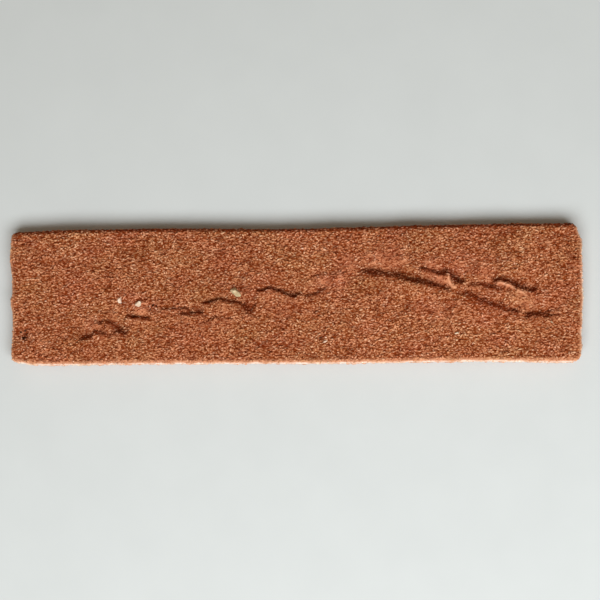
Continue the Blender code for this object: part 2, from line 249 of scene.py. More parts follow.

# Hollows, with a negative rise, painted dark as shade, and low pads of clay, more or less bare of sand
SPOTS = (
    # The tongue of smooth clay, the pits beside and below the torn flaps, and those where the bank breaks
    Spot((0.244, 0.129), 0.0016, 0.0003, 0.8),
    Spot((0.258, 0.116), 0.0020, 0.0003, 1.0),
    Spot((0.268, 0.096), 0.0013, 0.0002, 0.9),
    Spot((0.283, 0.141), 0.0016, -0.0006),
    Spot((0.276, 0.153), 0.0009, -0.0008),
    Spot((0.278, 0.120), 0.0009, -0.0008),
    Spot((0.286, 0.101), 0.0011, -0.0008),
    Spot((0.289, 0.012), 0.0011, -0.0005),
    Spot((0.297, 0.008), 0.0011, -0.0005),
    Spot((0.366, 0.064), 0.0006, -0.0005),
    Spot((0.359, 0.040), 0.0010, -0.0006),
    Spot((0.342, 0.059), 0.0015, -0.0005),
    Spot((0.372, 0.028), 0.0008, -0.0005),
    Spot((0.416, -0.144), 0.0022, -0.0006),
    Spot((0.219, 0.108), 0.0016, -0.0006),
    Spot((0.400, 0.049), 0.0016, -0.0005),
    Spot((0.262, 0.175), 0.0014, -0.0004),
    Spot((0.187, 0.193), 0.0012, -0.0004),
    # Pads and pits along the V, the arch and the short folds
    Spot((0.403, -0.056), 0.0036, 0.0004, 0.4),
    Spot((-0.268, -0.102), 0.0023, 0.0004, 0.7),
    Spot((-0.122, -0.053), 0.0030, 0.0004, 0.4),
    Spot((-0.043, 0.021), 0.0024, 0.0003, 0.3),
    Spot((-0.021, -0.002), 0.0014, 0.0003, 0.5),
    Spot((-0.091, 0.071), 0.0020, -0.0006),
    Spot((-0.105, 0.075), 0.0010, -0.0005),
    Spot((-0.080, -0.076), 0.0022, -0.0009),
    Spot((-0.078, 0.037), 0.0016, 0.0003, 0.5),
    Spot((-0.070, -0.014), 0.0010, -0.0005),
    Spot((-0.186, -0.096), 0.0009, -0.0005),
    Spot((-0.167, -0.106), 0.0016, -0.0006),
    Spot((0.200, -0.081), 0.0018, -0.0005),
    Spot((0.012, -0.106), 0.0011, -0.0004),
    Spot((0.039, -0.114), 0.0011, -0.0004),
    Spot((0.052, -0.305), 0.0014, -0.0005),
    Spot((-0.282, -0.138), 0.0011, -0.0005),
    Spot((-0.243, -0.062), 0.0014, -0.0004),
    Spot((-0.190, -0.153), 0.0016, 0.0003, 0.4),
    # Low swellings that catch the light; their bare, paler clay also paints in part of that light as
    # highlight
    Spot((0.332, 0.172), 0.0034, 0.0006, 0.4),
    Spot((0.294, 0.232), 0.0030, 0.0004, 0.2),
    Spot((0.241, 0.216), 0.0024, 0.0003, 0.4),
    Spot((0.149, 0.250), 0.0040, 0.0006, 0.5),
    Spot((0.102, 0.215), 0.0028, 0.0004, 0.4),
    Spot((0.186, 0.258), 0.0032, 0.0004, 0.4),
    Spot((0.312, 0.195), 0.0026, 0.0003, 0.3),
    Spot((0.055, 0.105), 0.0026, 0.0005, 0.5),
    Spot((0.083, 0.125), 0.0022, 0.0006, 0.8),
    Spot((0.029, 0.077), 0.0020, 0.0004, 0.4),
    Spot((0.264, -0.160), 0.0040, 0.0003, 0.2),
    # The rumpled patch: low domes with pits round them
    Spot((-0.358, -0.183), 0.0028, 0.0006, 0.4),
    Spot((-0.319, -0.144), 0.0026, 0.0006, 0.35),
    Spot((-0.344, -0.208), 0.0013, 0.0004, 0.3),
    Spot((-0.339, -0.286), 0.0017, 0.0004, 0.3),
    Spot((-0.311, -0.229), 0.0026, -0.0009),
    Spot((-0.366, -0.268), 0.0020, -0.0006),
    Spot((-0.342, -0.182), 0.0011, -0.0005),
    # The bed of the iron spot
    Spot((-0.476, -0.279), 0.0023, -0.0005),
)

# Moulding sand: each size of grain is a joined piece of its own
Sand = namedtuple("Sand", "name count radius spacing seed tones")
# The coarse grains get paler tones and the smaller ones darker, partly as painted highlight on the proud
# grains and painted shade between them
SANDS = (
    Sand("coarse_sand", 9800, 0.00042, 0.00078, 11, (0.62, 1.0)),
    Sand("middle_sand", 9800, 0.00030, 0.00050, 12, (0.0, 0.25)),
    Sand("fine_sand", 9800, 0.00022, 0.00040, 13, (0.0, 0.20)),
)
# How many places are tried for each grain, and how much the grains of one size differ
SAND_CHOICE = 9
SAND_SIZES = (0.7, 1.3)
# How much the sand avoids clay that is bare, grooved, and worn or painted pale as highlight, and at most
SHYNESS = (0.75, 0.45, 0.80)
MOST_SHY = 0.97
# A grain's half sizes along, across and up, its corners and how deep it sits, in shares of its radius
GRAIN_SHAPE = ((1.0, 2.0), (0.60, 0.90), (0.80, 1.20))
GRAIN_CORNERS = (0.78, 1.15)
SUNK_SHARE = 0.05
SIDE_SUNK_SHARE = 0.45
SUNK_SPREAD = (0.2, 1.8)
# How strongly grains lie along X and along Y, and how far they keep above the floor
GRAIN_STRAY = (1.8, 0.7)
GRAIN_FLOOR = 0.00005
PALE_GRAIN_RADIUS = 0.00042
PALE_GRAIN_SIZES = (0.6, 1.1)
PALE_GRAIN_SEED = 22
CRUMB_COUNT = 34
CRUMB_CHOICE = 60000
CRUMB_RADIUS = 0.00050
CRUMB_SIZES = (0.6, 1.3)
CRUMB_SEED = 21
# Crumbs sit where the surface's normal rises by less than this, and above this share of the thickness
CRUMB_RISE = 0.6
CRUMB_HEIGHT = 0.55
# How much nearer a point of the surface counts for each metre that it is higher
UPWARD_PULL = 0.05

# Stones bedded in the face: half sizes along, across and up, and a turn about the upright in degrees
Stone = namedtuple("Stone", "place half_size turn tone seed")
# How many corners a stone has and how far they stray, and how high it sits and how dull its edges are
STONE_CORNERS = 11
STONE_SPREAD = (0.9, 1.15)
STONE_LIFT = 0.15
STONE_DULLING = 0.10
STONE_ORDER = (0.6, 0.5, 0.3)  # a slanting direction, so that no two points or faces lie equally far along it
PALE_STONES = (
    Stone((-0.305, -0.022), (0.00130, 0.00094, 0.00120), 88, 1.00, 1),
    Stone((-0.271, -0.050), (0.00190, 0.00115, 0.00120), 38, 0.80, 2),
    Stone((-0.100, 0.035), (0.00236, 0.00186, 0.00150), -38, 0.15, 3),
    Stone((0.055, -0.340), (0.00120, 0.00095, 0.00100), 50, 0.95, 4),
    Stone((0.283, -0.288), (0.00085, 0.00050, 0.00060), 15, 0.60, 15),
    Stone((0.445, -0.211), (0.00085, 0.00055, 0.00070), -20, 0.45, 16),
)
DARK_STONES = (
    Stone((-0.476, -0.289), (0.00150, 0.00120, 0.00060), 20, 0.00, 5),
    Stone((-0.482, -0.257), (0.00070, 0.00045, 0.00040), -30, 0.20, 6),
    Stone((-0.470, -0.268), (0.00075, 0.00045, 0.00040), 10, 0.15, 7),
    Stone((-0.475, -0.238), (0.00060, 0.00040, 0.00035), 60, 0.30, 8),
    Stone((-0.247, -0.062), (0.00120, 0.00050, 0.00055), 35, 0.05, 9),
    Stone((-0.243, -0.077), (0.00095, 0.00045, 0.00045), 30, 0.10, 10),
    Stone((-0.239, -0.061), (0.00080, 0.00040, 0.00040), 0, 0.10, 11),
    Stone((-0.251, -0.095), (0.00055, 0.00040, 0.00035), -20, 0.35, 12),
    Stone((0.045, -0.316), (0.00060, 0.00040, 0.00035), 20, 0.35, 13),
    Stone((0.050, -0.305), (0.00050, 0.00040, 0.00035), -40, 0.35, 14),
)
# Grains of pale quartz: those round the dark spots, then the brightest ones of the open face, which stand in
# partly for painted glints
PALE_GRAINS_AND_GLINTS = ((-0.482, -0.300), (-0.468, -0.291), (-0.479, -0.320), (-0.252, -0.060), (-0.251, -0.080),
               (-0.245, -0.048), (-0.241, -0.088), (0.056, -0.311), (0.297, 0.144), (-0.363, -0.046),
               (-0.192, -0.293), (-0.020, -0.074), (0.256, -0.144), (0.383, 0.215), (0.443, 0.163),
               (0.483, 0.037), (-0.421, -0.053), (-0.434, -0.106), (0.224, 0.430), (0.018, 0.344),
               (0.424, 0.403), (0.158, 0.377))
SPARE_PALE_GRAINS_AND_GLINTS = 12
# Crumbs that stand out beyond the outline
OUTER_CRUMBS = ((0.192, 0.51), (0.393, -0.50), (0.367, -0.50), (-0.50, -0.014))

# Camera, fitted to the slip's outline
CAMERA_PLACE = (0.02515, -0.0002, 0.4192)
CAMERA_AIM = (0.00225, -0.00165, 0.0)
CAMERA_ROLL = -0.0103
CAMERA_LENS = 67.6

# Light: a soft box on the viewer's side of the slip, a little to the right, and a pale sky all round
LIGHT_DISTANCE = 0.75
LIGHT_ELEVATION = math.radians(56.5)
LIGHT_AZIMUTH = math.radians(14)
LIGHT_SIZE = (0.95, 0.44)
LIGHT_WATTS = 7.52
LIGHT_COLOUR = (0.98, 1.0, 1.02)
SKY_COLOUR = (1.0, 0.84, 0.63, 1.0)
SKY_STRENGTH = 0.22

# Half the floor's side, and how far it lies below the slip
FLOOR_HALF = 1.5
FLOOR_GAP = 0.00002


def srgb(red, green, blue):
    """Return a colour given in 0 to 255 screen values as linear red, green, blue and alpha."""
    def linear(value):
        share = value / 255
        return share / 12.92 if share <= 0.04045 else ((share + 0.055) / 1.055) ** 2.4
    return linear(red), linear(green), linear(blue), 1.0


def smoothstep(share):
    """Go from 0 to 1 with level ends as share does."""
    share = np.clip(share, 0.0, 1.0)
    return share * share * (3.0 - 2.0 * share)


def shaped(values, slope_and_offset):
    """Turn noise into a share from 0 to 1 by a slope and an offset."""
    slope, offset = slope_and_offset
    return smoothstep(slope * values + offset)


def on_face(share):
    """Return the place in metres of a pair of shares of the length and height."""
    return np.array(share) * (LENGTH, HEIGHT)


def waves(points, pitch, use):
    """Return smooth noise of about -1 to 1 at each place on the face, or at each point in space."""
    scaled = np.zeros((len(points), 3))
    scaled[:, :points.shape[1]] = points / np.array(pitch)
    scaled[:, 2] += LEVELS[use]
    return np.array([noise.noise(point) for point in scaled.tolist()])


def smooth_route(points):
    """Return points every ROUTE_STEP along a smooth curve through a route's own points, in metres."""
    knots = on_face(points)
    knots = np.vstack((2 * knots[0] - knots[1], knots, 2 * knots[-1] - knots[-2]))
    samples = []
    for before, start, end, after in zip(knots, knots[1:], knots[2:], knots[3:]):
        count = max(2, int(np.linalg.norm(end - start) / ROUTE_STEP))
        t = np.linspace(0.0, 1.0, count, endpoint=False)[:, None]
        bend = 2 * before - 5 * start + 4 * end - after
        twist = 3 * start - before - 3 * end + after
        samples.append(start + 0.5 * t * (end - before + t * (bend + t * twist)))
    samples.append(knots[-2][None, :])
    return np.vstack(samples)


class Along:
    """Where the places near a route lie along it and beside it."""

    def __init__(self, places, points, reach):
        route = smooth_route(points)
        low, high = route.min(axis=0) - reach, route.max(axis=0) + reach
        self.near = np.flatnonzero(np.all((places > low) & (places < high), axis=1))
        places = places[self.near]
        ahead = np.gradient(route, axis=0)
        ahead /= np.linalg.norm(ahead, axis=1)[:, None]
        nearest = nearest_samples(places, route)
        offset = places - route[nearest]
        self.heading = ahead[nearest]
        self.side = offset[:, 0] * self.heading[:, 1] - offset[:, 1] * self.heading[:, 0]
        past_end = np.sum(offset * self.heading, axis=1)
        share = nearest / (len(route) - 1)
        self.ends = smoothstep(share / TAPER) * smoothstep((1.0 - share) / TAPER)
        self.ends *= np.exp(-(past_end / END_REACH) ** 2)


def nearest_samples(places, route):
    """Return the number of the route's sample that is nearest each place."""
    nearest = np.empty(len(places), dtype=int)
    chunk = 4000
    for start in range(0, len(places), chunk):
        apart = places[start:start + chunk, None, :] - route[None, :, :]
        nearest[start:start + chunk] = np.argmin(np.sum(apart * apart, axis=2), axis=1)
    return nearest


class Relief:
    """What the folds and spots do at each place: height, sideways lean, how bare of sand it is, how pale it
    is painted as highlight and how dark as shade.
    """

    def __init__(self, places):
        self.places = places
        self.height = np.zeros(len(places))
        self.lean = np.zeros((len(places), 2))
        self.bare = np.zeros(len(places))
        self.pale = np.zeros(len(places))
        self.groove = np.zeros(len(places))
        self.ragged = RAGGED * waves(places, RAGGED_PITCH, "ragged")
        self.ragged += FRAYED * waves(places, FRAYED_PITCH, "frayed")
        self.vigour = 1.0 + VIGOUR_SPREAD * waves(places, VIGOUR_PITCH, "vigour")
        self.breadth = 1.0 + BREADTH_SPREAD * waves(places, BREADTH_PITCH, "breadth")

    def add_fold(self, fold):
        """Add one fold: a groove, a steep step and a lip, which leans over a narrow groove, with painted
        shade along the groove.
        """
        spread = LIP_SPREAD + fold.width
        along = Along(self.places, fold.route, FOLD_SPAN * spread)
        near, ends = along.near, along.ends
        side = along.side + self.ragged[near]
        width = fold.width * self.breadth[near]
        step = smoothstep(side / width + 0.5)
        vigour = self.vigour[near]
        lip = fold.rise * vigour * step * np.exp(-(np.maximum(side, 0.0) / spread) ** 2)
        beyond = np.minimum(side + width / 2, 0.0)
        reach = GROOVE_REACH + GROOVE_SPREAD * fold.width
        groove = fold.groove * vigour * (1.0 - step) * np.exp(-(beyond / reach) ** 2)
        self.height[near] += ends * (lip - groove)
        sharp = min(1.0, NARROW / fold.width) ** 2
        strength = sharp * ends * step * np.exp(-(side / LEAN_REACH) ** 2) * fold.rise / MILLIMETRE
        self.lean[near, 0] -= LEAN * strength * along.heading[:, 1]
        self.lean[near, 1] += LEAN * strength * along.heading[:, 0]
        crest = CREST_BARE * sharp * ends * np.exp(-((side - CREST_PLACE) / CREST_REACH) ** 2)
        self.bare[near] = np.maximum(self.bare[near], crest)
        # Painted shade in the groove, darker for deeper and sharper folds
        darkness = BROAD_DARKNESS + (SHARP_DARKNESS - BROAD_DARKNESS) * sharp
        darkness *= min(1.0, (fold.rise + fold.groove) / DARK_FOLD_DEPTH)
        dark = darkness * ends * vigour * np.exp(-(side / (DARK_WIDTH * width)) ** 2)
        self.groove[near] = np.maximum(self.groove[near], dark)

    def add_ridge(self, ridge):
        """Add one thin bare edge of clay, painted pale as highlight."""
        along = Along(self.places, ridge.route, 4 * RIDGE_REACH)
        near = along.near
        crest = along.ends * np.exp(-(along.side / RIDGE_REACH) ** 2)
        self.height[near] += ridge.rise * crest
        self.bare[near] = np.maximum(self.bare[near], RIDGE_BARE * crest)
        whole, spread = RIDGE_BREAKS
        broken = np.clip(whole + spread * waves(self.places[near], RIDGE_PITCH, "ridge"), 0.0, 1.0)
        # Painted highlight on the ridge's crest, stronger the higher it rises
        pale = RIDGE_HIGHLIGHT * ridge.rise / MILLIMETRE * crest ** 3 * broken
        self.pale[near] = np.maximum(self.pale[near], pale)
        self.groove[near] *= 1.0 - crest

    def add_spot(self, spot):
        """Add one round hollow or pad; a hollow is also painted dark as shade."""
        apart = self.places - on_face(spot.place)
        strength = np.exp(-np.sum(apart * apart, axis=1) / spot.reach ** 2)
        self.height += spot.rise * strength
        self.bare = np.maximum(self.bare, spot.bare * strength)
        if spot.rise < 0:
            darkness = PIT_DARKNESS * min(1.0, -spot.rise / DARK_PIT_DEPTH)
            self.groove = np.maximum(self.groove, darkness * strength)

    def add_cracks(self):
        """Break the skin with short cracks, painted dark as shade, that run mostly along the slip."""
        for use, share in CRACK_SHARES.items():
            line = waves(self.places, share * np.array(CRACK_PITCH), use)
            patch = waves(self.places, share * np.array(CRACK_PATCH), use + " patch")
            crack = smoothstep(1.0 - np.abs(line) / CRACK_WIDTH) * shaped(patch, CRACK_PATCHES)
            self.height -= CRACK_DEPTH * share * crack
            self.groove = np.maximum(self.groove, CRACK_DARKNESS * crack)

    def add_pits(self):
        """Pit the face with small hollows."""
        rng = np.random.default_rng(PIT_SEED)
        for _ in range(PIT_COUNT):
            centre = rng.uniform(-PIT_PLACES, PIT_PLACES)
            reach = rng.uniform(*PIT_REACHES)
            self.add_spot(Spot(tuple(centre), reach, -rng.uniform(*PIT_STEEPNESS) * reach))


def face_relief(places):
    """Return the relief of the whole face, with the fine roughness that the solid leaves out."""
    relief = Relief(places)
    relief.height += SWELL_DEPTH * waves(places, SWELL_PITCH, "swell")
    relief.height += RIPPLE_DEPTH * waves(places, RIPPLE_PITCH, "ripple")
    for fold in FOLDS:
        relief.add_fold(fold)
    for spot in SPOTS:
        relief.add_spot(spot)
    relief.add_cracks()
    relief.add_pits()
    for ridge in RIDGES:
        relief.add_ridge(ridge)
    rough = 1.0 - BARE_SMOOTHNESS * np.clip(relief.bare, 0.0, 1.0)
    slanted = places - np.outer(LUMP_SLANT * places[:, 0], (0.0, 1.0))
    relief.height += rough * LUMP_DEPTH * waves(slanted, LUMP_PITCH, "lump")
    rough *= 1.0 + FINE_SPREAD * waves(places, FINE_PATCH, "fine patch")
    fine = waves(places, FINE_PITCH, "fine")
    relief.height += rough * FINE_DEPTH * fine
    # Painted shade: the fine hollows are darkened
    relief.groove = np.maximum(relief.groove, FINE_DARKNESS * rough * shaped(fine, FINE_HOLLOWS))
    return relief


def bulge(edge, shares):
    """Return how far an edge bulges at each share of the way along it, easing from point to point."""
    stops, sizes = np.array(edge).T
    after = np.clip(np.searchsorted(stops, shares), 1, len(stops) - 1)
    way = smoothstep((shares - stops[after - 1]) / (stops[after] - stops[after - 1]))
    return MILLIMETRE * (sizes[after - 1] + way * (sizes[after] - sizes[after - 1]))


def bulged_outline(places):
    """Return how far each place moves along X and Y to bring the straight edges to the real outline."""
    along, across = places[:, 0] / LENGTH, places[:, 1] / HEIGHT
    near_end = smoothstep(1.0 - (LENGTH / 2 - np.abs(places[:, 0])) / EDGE_REACH)
    near_side = smoothstep(1.0 - (HEIGHT / 2 - np.abs(places[:, 1])) / EDGE_REACH)
    ends = np.where(along > 0, bulge(RIGHT_EDGE, across), -bulge(LEFT_EDGE, across))
    sides = np.where(across > 0, bulge(UPPER_EDGE, along), -bulge(LOWER_EDGE, along))
    ends += EDGE_WANDER * waves(places, EDGE_PITCH, "end edge")
    sides += EDGE_WANDER * waves(places, EDGE_PITCH, "long edge")
    return np.stack((near_end * ends, near_side * sides), axis=1)


def rounded_top(columns, rows):
    """Return the points of the plain rounded face, column by column, down to the foot of its arris."""
    x, y = np.meshgrid(np.linspace(-LENGTH / 2, LENGTH / 2, columns + 1),
                       np.linspace(-HEIGHT / 2, HEIGHT / 2, rows + 1), indexing="ij")
    x, y = x.ravel(), y.ravel()
    past_x = np.maximum(np.abs(x) - (LENGTH / 2 - CORNER_RADIUS), 0.0)
    past_y = np.maximum(np.abs(y) - (HEIGHT / 2 - CORNER_RADIUS), 0.0)
    past = np.maximum(past_x, past_y)
    inset = CORNER_RADIUS - past
    turn = np.clip(1.0 - inset / ARRIS_RADIUS, 0.0, 1.0) * math.pi / 2
    on_arris = inset < ARRIS_RADIUS
    reach = np.where(on_arris, CORNER_RADIUS - ARRIS_RADIUS * (1.0 - np.sin(turn)), past)
    z = np.where(on_arris, THICKNESS - ARRIS_RADIUS * (1.0 - np.cos(turn)), THICKNESS)
    size = np.maximum(np.hypot(past_x, past_y), 1e-12)
    x = np.sign(x) * (np.minimum(np.abs(x), LENGTH / 2 - CORNER_RADIUS) + past_x / size * reach)
    y = np.sign(y) * (np.minimum(np.abs(y), HEIGHT / 2 - CORNER_RADIUS) + past_y / size * reach)
    return np.stack((x, y, z), axis=1)


def arris_wear_highlight_and_shade(points):
    """Return how pale the rounded face is at each of its points, worn and painted as highlight, and how dark
    it is painted as shade on the upper arris.
    """
    inwards = {"lower": points[:, 1] + HEIGHT / 2, "left": points[:, 0] + LENGTH / 2,
               "right": LENGTH / 2 - points[:, 0]}
    sides = [strength * np.clip(1.0 - inwards[side] / reach, 0.0, 1.0)
             for side, (strength, reach) in WEAR_AND_HIGHLIGHT.items()]
    patchy = 1.0 + WEAR_SPREAD * waves(points[:, :2], WEAR_PITCH, "wear")
    wear_and_highlight = np.max(sides, axis=0) * patchy
    # Painted shade on the upper arris, which faces away from the light
    past_start = points[:, 1] - (HEIGHT / 2 - UPPER_SHADE_START * ARRIS_RADIUS)
    return wear_and_highlight, UPPER_ARRIS_SHADE * smoothstep(past_start / (UPPER_SHADE_BREADTH * ARRIS_RADIUS)) * patchy


def rim_numbers(columns, rows):
    """Return the numbers of the face's outermost points, in order round the slip."""
    number = np.arange((columns + 1) * (rows + 1)).reshape(columns + 1, rows + 1)
    return np.concatenate((number[:-1, 0], number[-1, :-1], number[:0:-1, -1], number[0, :0:-1]))


def quads(near, far):
    """Return the quads between two closed rings of as many points."""
    return np.stack((near, np.roll(near, -1), np.roll(far, -1), far), axis=1)


def outwards(ring):
    """Return which way is out of a closed ring at each of its points, along X and Y."""
    ahead = np.roll(ring[:, :2], -1, axis=0) - np.roll(ring[:, :2], 1, axis=0)
    out = np.stack((ahead[:, 1], -ahead[:, 0]), axis=1)
    return out / np.linalg.norm(out, axis=1)[:, None]


def side_rings(rim_points, levels, shift, lift):
    """Return rings of points down the rough narrow sides, one for each level below the rim."""
    out = outwards(rim_points)
    rings = []
    for z in levels:
        ring = np.column_stack((rim_points[:, :2], np.full(len(rim_points), z)))
        swollen = LUMP_DEPTH * waves(ring, LUMP_PITCH[0], "side lump")
        swollen += FINE_DEPTH * waves(ring, FINE_PITCH[0], "side fine")
        swollen *= min(1.0, z / FOOT_HEIGHT)
        ring[:, :2] += shift + out * swollen[:, None]
        ring[:, 2] += lift * z / THICKNESS
        rings.append(ring)
    return rings


def back_triangles(ring):
    """Return the extra points inside the outline of the flat back, and its triangles."""
    rng = np.random.default_rng(BACK_SEED)
    keep = CORNER_RADIUS
    xs = np.arange(keep - LENGTH / 2, LENGTH / 2 - keep, BACK_PITCH)
    ys = np.arange(keep - HEIGHT / 2, HEIGHT / 2 - keep, BACK_PITCH)
    inner = np.stack(np.meshgrid(xs, ys, indexing="ij"), axis=-1).reshape(-1, 2)
    inner = inner + rng.uniform(-BACK_STRAY, BACK_STRAY, inner.shape) * BACK_PITCH
    points = [Vector(p) for p in np.vstack((ring[:, :2], inner))]
    count = len(ring)
    edges = [(i, (i + 1) % count) for i in range(count)]
    _, _, faces, _, _, _ = geometry.delaunay_2d_cdt(points, edges, [], 1, BACK_GAP)
    return np.column_stack((inner, np.zeros(len(inner)))), faces


def body_mesh():
    """Build the slip's body: folded face, arris, sides and sawn back, as one closed mesh."""
    columns, rows = round(LENGTH / PITCH), round(HEIGHT / PITCH)
    top = rounded_top(columns, rows)
    rim = rim_numbers(columns, rows)
    relief = face_relief(top[:, :2])
    wear_and_highlight, painted_upper_shade = arris_wear_highlight_and_shade(top)
    # The painted shade of the upper arris joins that of the grooves
    relief.groove = np.maximum(relief.groove, painted_upper_shade)
    # The painted highlight of the ridges joins the arris's wear and painted highlight
    wear_and_highlight = np.maximum(wear_and_highlight, relief.pale)

    shift = bulged_outline(top[:, :2])
    level = top[:, 2] > THICKNESS - TINY
    moved = top.copy()
    moved[:, :2] += shift + relief.lean * level[:, None]
    moved[:, 2] += relief.height * (top[:, 2] / THICKNESS)
    side_rows = round((THICKNESS - ARRIS_RADIUS) / SIDE_PITCH)
    levels = (THICKNESS - ARRIS_RADIUS) * (1.0 - np.arange(1, side_rows + 1) / side_rows)
    rings = side_rings(top[rim], levels, shift[rim], relief.height[rim])
    inner, back_faces = back_triangles(rings[-1])
    points = np.vstack([moved] + rings + [inner])

    number = np.arange(len(top)).reshape(columns + 1, rows + 1)
    face_quads = np.stack((number[:-1, :-1], number[1:, :-1], number[1:, 1:], number[:-1, 1:]), axis=-1)
    ring_numbers = [rim] + [len(top) + i * len(rim) + np.arange(len(rim)) for i in range(len(rings))]
    sides = [quads(below, above) for above, below in zip(ring_numbers, ring_numbers[1:])]
    faces = face_quads.reshape(-1, 4).tolist() + np.vstack(sides).tolist()
    back_numbers = np.concatenate((ring_numbers[-1], len(points) - len(inner) + np.arange(len(inner))))
    faces += [back_numbers[list(face)][::-1].tolist() for face in back_faces]

    mesh = bpy.data.meshes.new("slip_body")
    mesh.from_pydata(points.tolist(), [], faces)
    mesh.shade_smooth()
    rest = np.zeros(len(points) - len(top))
    side_wear_and_highlight = [SIDE_WEAR_AND_HIGHLIGHT * wear_and_highlight[rim] * shaped(z / THICKNESS, SIDE_FADE) for z in levels]
    wear_and_highlight = np.concatenate([wear_and_highlight] + side_wear_and_highlight + [np.zeros(len(inner))])
    sawn = np.zeros(len(points))
    sawn[back_numbers] = 1.0
    add_attribute(mesh, "bare", np.concatenate((relief.bare, rest)))
    add_attribute(mesh, "groove", np.concatenate((relief.groove, rest)))
    add_attribute(mesh, "wear_and_highlight", wear_and_highlight)
    add_attribute(mesh, "sawn", sawn)
    return mesh


def add_attribute(mesh, name, values):
    """Store one number a point on a mesh, for its material to read."""
    layer = mesh.attributes.new(name, "FLOAT", "POINT")
    layer.data.foreach_set("value", np.ascontiguousarray(values, dtype=np.float32))


def read_points(data, key, width):
    """Return what a mesh's vertices or attribute hold, one row a point."""
    values = np.empty(len(data) * width, dtype=np.float32)
    data.foreach_get(key, values)
    return values.reshape(-1, width)


class Surface:
    """The body's moulded surface, from which grains take their places."""

    def __init__(self, mesh):
        mesh.calc_loop_triangles()
        triangles = np.empty(len(mesh.loop_triangles) * 3, dtype=np.int32)
        mesh.loop_triangles.foreach_get("vertices", triangles)
        self.triangles = triangles.reshape(-1, 3)
        self.points = read_points(mesh.vertices, "co", 3)
        self.normals = read_points(mesh.vertices, "normal", 3)
        self.look = np.column_stack([read_points(mesh.attributes[name].data, "value", 1)
                                     for name in ("bare", "groove", "wear_and_highlight")])

    def samples(self, count, rng):
        """Return random places, their normals, how bare and grooved the face is there, and how worn and
        painted as highlight.
        """
        a, b, c = (self.points[self.triangles[:, i]] for i in range(3))
        double_area = np.linalg.norm(np.cross(b - a, c - a), axis=1)
        on_back = np.max(self.points[self.triangles][:, :, 2], axis=1) < TINY
        double_area[on_back] = 0.0
        pick = rng.choice(len(self.triangles), size=count, p=double_area / double_area.sum())
        u, v = rng.random(count), rng.random(count)
        flip = u + v > 1.0
        u[flip], v[flip] = 1.0 - u[flip], 1.0 - v[flip]
        weights = np.stack((1.0 - u - v, u, v), axis=1)[:, :, None]
        corners = self.triangles[pick]
        places = np.sum(self.points[corners] * weights, axis=1)
        facing = np.sum(self.normals[corners] * weights, axis=1)
        facing /= np.linalg.norm(facing, axis=1)[:, None]
        return places, facing, np.sum(self.look[corners] * weights, axis=1)

    def nearest(self, shares):
        """Return the highest points of the surface near places given in shares, their normals and looks."""
        numbers = []
        for share in shares:
            apart = np.linalg.norm(self.points[:, :2] - on_face(share), axis=1)
            numbers.append(int(np.argmin(apart - UPWARD_PULL * self.points[:, 2])))
        return self.points[numbers], self.normals[numbers], self.look[numbers]


def thin_out(places, spacing, wanted):
    """Return the numbers of places that keep a spacing from those already taken."""
    taken = {}
    kept = []
    steps = list(product((-1, 0, 1), repeat=3))
    for number, place in enumerate(places):
        x, y, z = (place // spacing).astype(int).tolist()
        around = [(x + dx, y + dy, z + dz) for dx, dy, dz in steps]
        others = [taken[cell] for cell in around if cell in taken]
        if any(np.sum((place - other) ** 2) < spacing ** 2 for other in others):
            continue
        taken[x, y, z] = place
        kept.append(number)
        if len(kept) == wanted:
            break
    return np.array(kept)


def unit_icosahedron():
    """Return the points and faces of an icosahedron of radius 1."""
    golden = (1 + math.sqrt(5)) / 2
    points = np.array([(-1, golden, 0), (1, golden, 0), (-1, -golden, 0), (1, -golden, 0),
                       (0, -1, golden), (0, 1, golden), (0, -1, -golden), (0, 1, -golden),
                       (golden, 0, -1), (golden, 0, 1), (-golden, 0, -1), (-golden, 0, 1)], dtype=float)
    points /= np.linalg.norm(points[0])
    # Corners that share an edge are 1.05 apart, and all others are further
    joined = np.linalg.norm(points[:, None] - points[None, :], axis=2) < 1.1
    faces = [(i, j, k) for i, j, k in combinations(range(len(points)), 3)
             if joined[i, j] and joined[j, k] and joined[i, k]]
    outward = [(i, j, k) if np.dot(np.cross(points[i], points[j]), points[k]) > 0 else (k, j, i)
               for i, j, k in faces]
    return points, np.array(outward)


